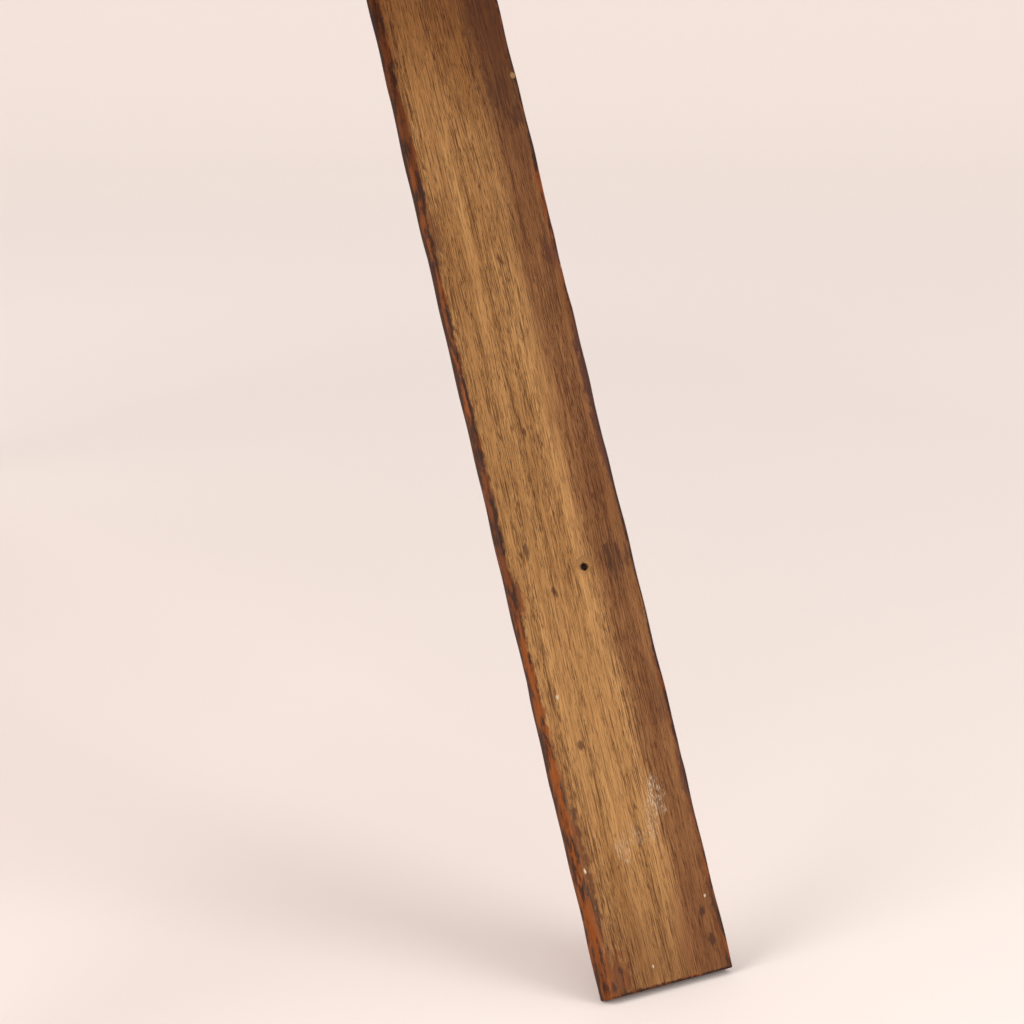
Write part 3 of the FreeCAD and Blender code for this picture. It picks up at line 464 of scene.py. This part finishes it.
def worn_oak(name, bare_share, near_leg=False):
    """Old varnished oak worn bare on its faces.

    Open pores are dark dashes about 6 mm long and a third of a millimetre wide, among splits
    about 26 mm long, drawn a little coarse so that they show.  Varnish stays on the arrises and
    sides: dark, amber where thin, and glossier than the dull bare wood.  bare_share is how much
    of the face is worn bare.
    """
    finish = bpy.context.scene.folding_table.finish
    material, tree = new_material(name)
    place, space = grain_space(tree)
    edge = add_node(tree, "Attribute", {}, "Fac", attribute_name="edge")
    if near_leg:
        foot = add_node(tree, "SeparateXYZ", {0: place})
        foot = add_node(tree, "Math", {0: foot, 1: 2.2}, operation="MULTIPLY")
        edge = add_node(tree, "Math", {0: edge, 1: foot}, operation="MINIMUM")

    # light and dark bands of growth, finer streaks within them, and redder clouds
    bands = grain_pattern(tree, space, (1.6, 26, 26), 3.0)
    bands = add_node(tree, "MapRange", {0: bands, 1: 0.3, 2: 0.7, 3: 0.2, 4: 0.65},
                     interpolation_type="SMOOTHSTEP")
    streaks = grain_pattern(tree, space, (5, 190, 190), 4.0, 0.62)
    shift = add_node(tree, "MapRange", {0: streaks, 1: 0.25, 2: 0.75, 3: -0.3, 4: 0.45})
    tone = add_node(tree, "Math", {0: bands, 1: shift}, operation="ADD")
    colour = add_node(tree, "Mix", {0: tone, 6: rgba(finish.bare_dark), 7: rgba(finish.bare_light)},
                      2, data_type="RGBA")
    cloud = grain_pattern(tree, space, (9, 30, 30), 4.0, 0.6)
    cloud = add_node(tree, "MapRange", {0: cloud, 1: 0.42, 2: 0.72, 4: 0.42},
                     interpolation_type="SMOOTHSTEP")
    colour = add_node(tree, "Mix", {0: cloud, 6: colour, 7: rgba(finish.aged_red_and_top_shade)}, 2,
                      data_type="RGBA")
    # painted shade on the near leg's upper end and right side, and darker towards its foot
    if near_leg:
        colour = near_leg_tones(tree, place, space, colour, finish)

    # fibres under half a millimetre across, then pores and hair-thin splits
    fibres = grain_pattern(tree, space, (70, 2300, 2300), 4.0, 0.75)
    share = add_node(tree, "MapRange", {0: fibres, 1: 0.34, 2: 0.64, 3: 0.66, 4: -0.3})
    colour = add_node(tree, "Mix", {0: share, 6: colour, 7: rgba(finish.pore)}, 2,
                      data_type="RGBA")
    crowding = grain_pattern(tree, space, (4, 130, 130), 2.0)
    crowding = add_node(tree, "MapRange", {0: crowding, 1: 0.35, 2: 0.65, 3: 0.06, 4: -0.06})
    lines = []
    for per_metre, detail, roughness, low, high, strength in (
            ((170, 2900, 2900), 2.0, 0.5, 0.58, 0.65, 1.0),
            ((38, 2300, 2300), 1.0, 0.4, 0.59, 0.67, 0.9)):
        line = grain_pattern(tree, space, per_metre, detail, roughness)
        line = add_node(tree, "Math", {0: line, 1: crowding}, operation="ADD")
        lines.append(add_node(tree, "MapRange", {0: line, 1: low, 2: high, 4: strength},
                              interpolation_type="SMOOTHSTEP"))
    pores = add_node(tree, "Math", {0: lines[0], 1: lines[1]}, operation="MAXIMUM")
    share = add_node(tree, "Math", {0: pores, 1: 0.8}, operation="MULTIPLY")
    colour = add_node(tree, "Mix", {0: share, 6: colour, 7: rgba(finish.pore)}, 2,
                      data_type="RGBA")

    # varnish left near the edges, with a ragged limit that wanders slowly in and out
    ragged = grain_pattern(tree, space, (160, 330, 330), 4.0, 0.65)
    ragged = add_node(tree, "MapRange", {0: ragged, 1: 0.25, 2: 0.75, 3: -0.75, 4: 0.75})
    slow = grain_pattern(tree, space, (14, 14, 14), 3.0, 0.6)
    slow = add_node(tree, "MapRange", {0: slow, 1: 0.3, 2: 0.7, 3: -1.8 * MM, 4: 1.8 * MM})
    reach = add_node(tree, "Math", {0: ragged, 1: 2 * MM, 2: slow}, operation="MULTIPLY_ADD")
    inside = add_node(tree, "Math", {0: edge, 1: reach}, operation="SUBTRACT")
    varnish = add_node(tree, "MapRange", {0: inside, 1: (6.6 - 3.0 * bare_share) * MM,
                                          2: (3.2 - 1.4 * bare_share) * MM},
                       interpolation_type="SMOOTHSTEP")
    film = grain_pattern(tree, space, (60, 240, 240), 4.0, 0.7)
    inward = add_node(tree, "MapRange", {0: edge, 1: 1.2 * MM, 2: 3.8 * MM, 4: 0.18})
    if near_leg:
        inward = add_node(tree, "Math", {0: inward, 1: near_leg_side(tree, place)},
                          operation="MAXIMUM")
        for mark in AMBER_PATCHES:
            patch = spot(tree, place, ragged, mark)
            varnish = add_node(tree, "Math", {0: varnish, 1: patch}, operation="MAXIMUM")
            patch = add_node(tree, "Math", {0: patch, 1: 0.15}, operation="MULTIPLY")
            inward = add_node(tree, "Math", {0: inward, 1: patch}, operation="MAXIMUM")
    thin = add_node(tree, "Math", {0: film, 1: inward}, operation="ADD")
    thin = add_node(tree, "MapRange", {0: thin, 1: 0.54, 2: 0.68},
                    interpolation_type="SMOOTHSTEP")
    share = add_node(tree, "MapRange", {0: streaks, 1: 0.35, 2: 0.62, 3: 0.3, 4: 1.0},
                     interpolation_type="SMOOTHSTEP")
    amber = add_node(tree, "Mix", {0: share, 6: rgba(finish.varnish_dark),
                                   7: rgba(finish.varnish_amber)}, 2, data_type="RGBA")
    glaze = add_node(tree, "Mix", {0: thin, 6: rgba(finish.varnish_dark), 7: amber}, 2,
                     data_type="RGBA")
    if near_leg:
        for mark in PURPLE_PATCHES:
            patch = spot(tree, place, ragged, mark)
            varnish = add_node(tree, "Math", {0: varnish, 1: patch}, operation="MAXIMUM")
            glaze = add_node(tree, "Mix", {0: patch, 6: glaze, 7: rgba(to_linear("#3C1D18"))}, 2,
                             data_type="RGBA")
    share = add_node(tree, "Math", {0: varnish, 1: 0.96}, operation="MULTIPLY")
    colour = add_node(tree, "Mix", {0: share, 6: colour, 7: glaze}, 2, data_type="RGBA")
    if near_leg:
        colour = near_leg_marks(tree, place, space, colour, ragged)

    # fibres stand a little proud, pores are sunk, and the varnish is a film on top
    height = add_node(tree, "Math", {0: pores, 1: -0.8}, operation="MULTIPLY")
    height = add_node(tree, "Math", {0: fibres, 1: 0.35, 2: height}, operation="MULTIPLY_ADD")
    height = add_node(tree, "Math", {0: varnish, 1: 0.35, 2: height}, operation="MULTIPLY_ADD")
    bump = add_node(tree, "Bump", {"Height": height, "Strength": 0.55, "Distance": 0.35 * MM})
    roughness = add_node(tree, "MapRange", {0: varnish, 3: 0.7, 4: 0.42})
    finish_material(tree, {"Base Color": colour, "Roughness": roughness,
                           "Specular IOR Level": 0.13, "Normal": bump})
    return material


def near_leg_side(tree, place):
    """How thin the varnish is on the near leg's -Y side: thick at the back, thin in front."""
    across = add_node(tree, "SeparateXYZ", {0: place}, 1)
    through = add_node(tree, "SeparateXYZ", {0: place}, 2)
    forward = add_node(tree, "MapRange", {0: through, 1: -2 * MM, 2: 3 * MM, 4: 0.14})
    on_side = add_node(tree, "Math", {0: across, 1: 0.0}, operation="GREATER_THAN")
    return add_node(tree, "Math", {0: forward, 1: on_side}, operation="MULTIPLY")


def near_leg_tones(tree, place, space, colour, finish):
    """The near leg's slow changes: painted shade as a darker, redder upper end under the top and a
    darker right side, and darker towards the foot.
    """
    wander = grain_pattern(tree, space, (5, 20, 20), 3.0, 0.6)
    wander = add_node(tree, "MapRange", {0: wander, 1: 0.2, 2: 0.8, 3: -6 * MM, 4: 6 * MM})
    across = add_node(tree, "SeparateXYZ", {0: place}, 1)
    side = add_node(tree, "Math", {0: across, 1: wander}, operation="ADD")
    rise = add_node(tree, "SeparateXYZ", {0: place})
    up = add_node(tree, "Math", {0: wander, 1: 3.0, 2: rise}, operation="MULTIPLY_ADD")
    # painted shade: the upper end, under the top, is mixed towards the aged red to darken it
    share = add_node(tree, "MapRange", {0: up, 1: 420 * MM, 2: 560 * MM, 4: 0.8},
                     interpolation_type="SMOOTHSTEP")
    colour = add_node(tree, "Mix", {0: share, 6: colour, 7: rgba(finish.aged_red_and_top_shade)}, 2,
                      data_type="RGBA")
    # painted shade: the right side of the broad face is darkened
    right = add_node(tree, "MapRange", {0: side, 1: -4 * MM, 2: -20 * MM, 4: 0.9},
                     interpolation_type="SMOOTHSTEP")
    # darker towards the foot
    foot = add_node(tree, "MapRange", {0: up, 1: 75 * MM, 2: 0.0, 4: 0.55},
                    interpolation_type="SMOOTHSTEP")
    # the painted side shade and the darker foot, multiplied by the shade tint
    painted_side_shade_and_dark_foot = add_node(tree, "Math", {0: right, 1: foot}, operation="ADD", use_clamp=True)
    return add_node(tree, "Mix", {0: painted_side_shade_and_dark_foot, 6: colour, 7: rgba(finish.shade)}, 2,
                    data_type="RGBA", blend_type="MULTIPLY")


def near_leg_marks(tree, place, space, colour, ragged):
    """Stains, paint specks and fresh chips on the near leg, from the lists above."""
    flecks = grain_pattern(tree, space, (420, 1500, 1500), 4.0, 0.8)
    flecks = add_node(tree, "MapRange", {0: flecks, 1: 0.47, 2: 0.7},
                      interpolation_type="SMOOTHSTEP")
    streaks = grain_pattern(tree, space, (28, 900, 900), 3.0)
    streaks = add_node(tree, "MapRange", {0: streaks, 1: 0.38, 2: 0.6, 3: 1.0, 4: 0.25},
                       interpolation_type="SMOOTHSTEP")
    for marks, hex_code, soft, broken in ((DARK_STAINS, "#3B2118", 0.45, streaks),
                                          (WHITE_MARKS, "#CDBDA4", 0.3, flecks),
                                          (PALE_CHIPS, "#9C7C50", 0.25, streaks)):
        for mark in marks:
            share = spot(tree, place, ragged, mark, soft)
            if mark[2] > SMEAR:
                share = add_node(tree, "Math", {0: share, 1: broken}, operation="MULTIPLY")
            colour = add_node(tree, "Mix", {0: share, 6: colour, 7: rgba(to_linear(hex_code))},
                              2, data_type="RGBA")
    return colour


def aged_steel(name, rust):
    """Mild steel with a brown patina, brushed once and dulled: soft glints, blotched rust."""
    finish = bpy.context.scene.folding_table.finish
    material, tree = new_material(name)
    place = add_node(tree, "TexCoord", {}, "Object")
    blotch = add_node(tree, "TexNoise", {"Vector": place, "Scale": 90.0, "Detail": 5.0,
                                         "Roughness": 0.65})
    share = add_node(tree, "MapRange", {0: blotch, 1: 0.62 - 0.25 * rust, 2: 0.72})
    colour = add_node(tree, "Mix", {0: share, 6: rgba(finish.steel_dark),
                                    7: rgba(finish.steel_rust)}, 2, data_type="RGBA")
    dull = add_node(tree, "MapRange", {0: blotch, 1: 0.3, 2: 0.75, 3: 0.34, 4: 0.68})
    grit = add_node(tree, "TexNoise", {"Vector": place, "Scale": 900.0, "Detail": 3.0})
    bump = add_node(tree, "Bump", {"Height": grit, "Strength": 0.25, "Distance": 0.1 * MM})
    finish_material(tree, {"Base Color": colour, "Roughness": dull, "Metallic": 0.85,
                           "Normal": bump})
    return material


# ------------------------------------------------------------------ builders
class TableOperator:
    """What the table's operators share."""
    bl_options = {"REGISTER", "UNDO"}


class TABLE_OT_top(TableOperator, bpy.types.Operator):
    """Build the top's boards"""
    bl_idname = "folding_table.top"
    bl_label = "Top Boards"

    def execute(self, context):
        material = worn_oak("worn oak, table top", 1.0)
        arris = context.scene.folding_table.board.top_arris
        nodes = sorted(node for node in BODY_OF if node.startswith("top_board_"))
        for seed, node in enumerate(nodes, start=11):
            make_plank(node, material, arris, seed)
        return {"FINISHED"}


class TABLE_OT_underframe(TableOperator, bpy.types.Operator):
    """Build the battens and aprons under the top"""
    bl_idname = "folding_table.underframe"
    bl_label = "Battens and Aprons"

    def execute(self, context):
        material = worn_oak("old varnished oak, underframe", 0.4)
        arris = context.scene.folding_table.board.arris
        nodes = sorted(node for node in BODY_OF if node.startswith(("batten_", "apron_"))
                       and "screws" not in node)
        for seed, node in enumerate(nodes, start=31):
            make_plank(node, material, arris, seed)
        return {"FINISHED"}


class TABLE_OT_legs(TableOperator, bpy.types.Operator):
    """Build the four plank legs, and drill the old screw hole in the near one"""
    bl_idname = "folding_table.legs"
    bl_label = "Legs"

    def execute(self, context):
        plain = worn_oak("worn oak, legs", 0.9)
        marked = worn_oak("worn stained oak, near leg", 0.9, near_leg=True)
        arris = context.scene.folding_table.board.arris
        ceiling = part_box("batten_hinge_a")[0].z
        nodes = sorted(node for node in BODY_OF if node.startswith(("leg_a_", "leg_b_")))
        for seed, node in enumerate(nodes, start=51):
            piece = make_plank(node, marked if node == NEAR_LEG else plain, arris, seed, ceiling)
            if node == NEAR_LEG:
                centre, axes, size = plank_axes(node)
                old_hole = centre + np.array([OLD_HOLE_RISE - size[0] / 2, -OLD_HOLE_SIDE, 0]) @ axes
                drill(piece, old_hole, axes[2], OLD_HOLE_RADIUS, size[2])
        return {"FINISHED"}


class TABLE_OT_rails(TableOperator, bpy.types.Operator):
    """Build the leg frames' cross rails, thinned where the other frame's leg passes"""
    bl_idname = "folding_table.rails"
    bl_label = "Cross Rails"

    def execute(self, context):
        material = worn_oak("worn oak, rails", 0.7)
        arris = context.scene.folding_table.board.arris
        for seed, end in enumerate("ab", start=61):
            node = "rail_" + end
            legs = [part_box("leg_%s_%s" % (end, side)) for side in ("left", "right")]
            legs.sort(key=lambda box: box[0].y)
            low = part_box(node)[0].y
            relief = (legs[0][1].y - low, legs[1][0].y - low, 2 * MM)
            make_plank(node, material, arris, seed, relief=relief)
        return {"FINISHED"}


class TABLE_OT_buttons(TableOperator, bpy.types.Operator):
    """Build the turn buttons and the posts they turn on"""
    bl_idname = "folding_table.buttons"
    bl_label = "Turn Buttons"

    def execute(self, context):
        material = worn_oak("old varnished oak, turn buttons", 0.5)
        for seed, node in enumerate(sorted(SLOT_OF), start=71):
            if SLOT_OF[node] != "fitting_wood":
                continue
            low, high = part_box(node)
            round_part = node.startswith("button_post")
            pivot = (low.x + high.x) / 2 if round_part else low.x + (high.y - low.y) / 2
            make_slab(node, material, pivot, (1.0 if round_part else 1.8) * MM, seed)
        return {"FINISHED"}


class TABLE_OT_fittings(TableOperator, bpy.types.Operator):
    """Give the hinges, stays and screws their finishes"""
    bl_idname = "folding_table.fittings"
    bl_label = "Fittings"

    def execute(self, context):
        finishes = {
            "hinge_steel": aged_steel("aged steel, hinges", 0.6),
            "stay_steel": aged_steel("aged steel, stays", 0.3),
            "screw_steel": aged_steel("aged steel, screws", 0.2),
        }
        for node, item in frame["nodes"].items():
            if SLOT_OF[node] in finishes:
                item.data.materials.clear()
                item.data.materials.append(finishes[SLOT_OF[node]])
        return {"FINISHED"}


# The stage, in metres; the camera and the lights stand off the near leg's foot.
SWEEP_REACH = 6.0
SWEEP_RISE = 2.4
WALL_TOP = 3.8
CAMERA_OFFSET = Vector((0.8856, -0.6459, 0.4860))
SENSOR_WIDTH = 36.0  # millimetres
SOFTBOX_WIDTH = 1.7
SOFTBOX_DISTANCE = 2.8
SOFTBOX_RISE = 1.5
SOFTBOX_AIM_RISE = 0.25


class TABLE_OT_stage(TableOperator, bpy.types.Operator):
    """Build the paper sweep, the soft lights and the camera"""
    bl_idname = "folding_table.stage"
    bl_label = "Stage"

    def execute(self, context):
        stage = context.scene.folding_table.stage
        low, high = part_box(NEAR_LEG)
        foot = Vector((high.x, (low.y + high.y) / 2, 0))
        self.make_sweep(stage, foot)
        self.make_camera(context.scene, stage, foot)
        for heading, share in ((stage.heading - math.radians(58), 1.0),
                               (stage.heading + math.radians(62), 0.55)):
            self.make_softbox(stage, foot, heading, share)
        world = bpy.data.worlds.new("studio air")
        world.use_nodes = True
        background = world.node_tree.nodes["Background"]
        background.inputs["Color"].default_value = (1.0, 1.0, 1.0, 1.0)
        background.inputs["Strength"].default_value = stage.ambient
        context.scene.world = world
        context.scene.view_settings.view_transform = "Standard"
        return {"FINISHED"}

    def make_sweep(self, stage, foot):
        """A round sweep: flat, a quarter-circle cove and a wall, turned about the table's middle.

        It glows a little, more with distance from the foot: painted light, an emission that fills in
        the shade on the sweep away from the foot.
        """
        cove = np.linspace(0, math.pi / 2, 16)
        radius = np.concatenate([[0.0, 1.0, 2.0, 4.0], SWEEP_REACH + SWEEP_RISE * np.sin(cove),
                                 [SWEEP_REACH + SWEEP_RISE]])
        height = np.concatenate([[0.0] * 4, SWEEP_RISE * (1 - np.cos(cove)), [WALL_TOP]])
        turn = np.linspace(0, 2 * math.pi, 72, endpoint=False)
        points = np.stack([radius[:, None] * np.cos(turn), radius[:, None] * np.sin(turn),
                           np.broadcast_to(height[:, None], (len(radius), len(turn)))], axis=-1)
        material, tree = new_material("matt paper, warm white")
        place = add_node(tree, "TexCoord", {}, "Object")
        away = add_node(tree, "VectorMath", {0: place, 1: foot}, 1, operation="DISTANCE")
        # painted light: emission that rises with distance from the foot
        falloff = add_node(tree, "Math", {0: away, 1: 0.35}, operation="POWER")
        painted_glow = add_node(tree, "Math", {0: falloff, 1: stage.painted_glow}, operation="MULTIPLY")
        finish_material(tree, {"Base Color": rgba(stage.floor), "Roughness": 0.9,
                               "Specular IOR Level": 0.1, "Emission Color": rgba(stage.floor),
                               "Emission Strength": painted_glow})
        faces = skin_grid(len(radius), len(turn))[:, ::-1]
        sweep = new_piece("paper_sweep", points, faces, {}, material)

    def make_camera(self, scene, stage, foot):
        camera = bpy.data.objects.new("camera", bpy.data.cameras.new("camera"))
        camera.data.lens = stage.lens
        camera.data.sensor_width = SENSOR_WIDTH
        camera.location = foot + CAMERA_OFFSET
        view = Vector((math.cos(stage.heading) * math.cos(stage.pitch),
                       math.sin(stage.heading) * math.cos(stage.pitch), -math.sin(stage.pitch)))
        camera.rotation_euler = view.to_track_quat("-Z", "Y").to_euler()
        scene.collection.objects.link(camera)
        scene.camera = camera

    def make_softbox(self, stage, foot, heading, share):
        """A large square light off the foot, against a heading, clear of the floor."""
        light = bpy.data.lights.new("softbox", "AREA")
        light.shape, light.size = "SQUARE", SOFTBOX_WIDTH
        light.energy = stage.soft_light * share
        box = bpy.data.objects.new("softbox", light)
        box.location = foot + Vector((-math.cos(heading) * SOFTBOX_DISTANCE,
                                      -math.sin(heading) * SOFTBOX_DISTANCE, SOFTBOX_RISE))
        aim = foot + Vector((0, 0, SOFTBOX_AIM_RISE)) - box.location
        box.rotation_euler = aim.to_track_quat("-Z", "Y").to_euler()
        bpy.context.scene.collection.objects.link(box)


STEPS = (TABLE_OT_top, TABLE_OT_underframe, TABLE_OT_legs, TABLE_OT_rails, TABLE_OT_buttons,
         TABLE_OT_fittings, TABLE_OT_stage)


class TABLE_PT_panel(bpy.types.Panel):
    """The table's steps, in the order they are run"""
    bl_idname = "TABLE_PT_panel"
    bl_label = "Folding Table"
    bl_space_type = "VIEW_3D"
    bl_region_type = "UI"
    bl_category = "Folding Table"

    def draw(self, context):
        for step in STEPS:
            self.layout.operator(step.bl_idname)
        settings = context.scene.folding_table
        for group in (settings.board, settings.finish, settings.stage):
            for name in group.bl_rna.properties.keys():
                if name not in ("rna_type", "name"):
                    self.layout.prop(group, name)


CLASSES = (BoardSettings, FinishSettings, StageSettings, TableSettings, *STEPS, TABLE_PT_panel)


def register():
    for cls in CLASSES:
        bpy.utils.register_class(cls)
    bpy.types.Scene.folding_table = PointerProperty(type=TableSettings)


def unregister():
    del bpy.types.Scene.folding_table
    for cls in reversed(CLASSES):
        bpy.utils.unregister_class(cls)


def main():
    register()
    for step in STEPS:
        group, name = step.bl_idname.split(".")
        getattr(getattr(bpy.ops, group), name)()


if __name__ == "__main__":
    main()
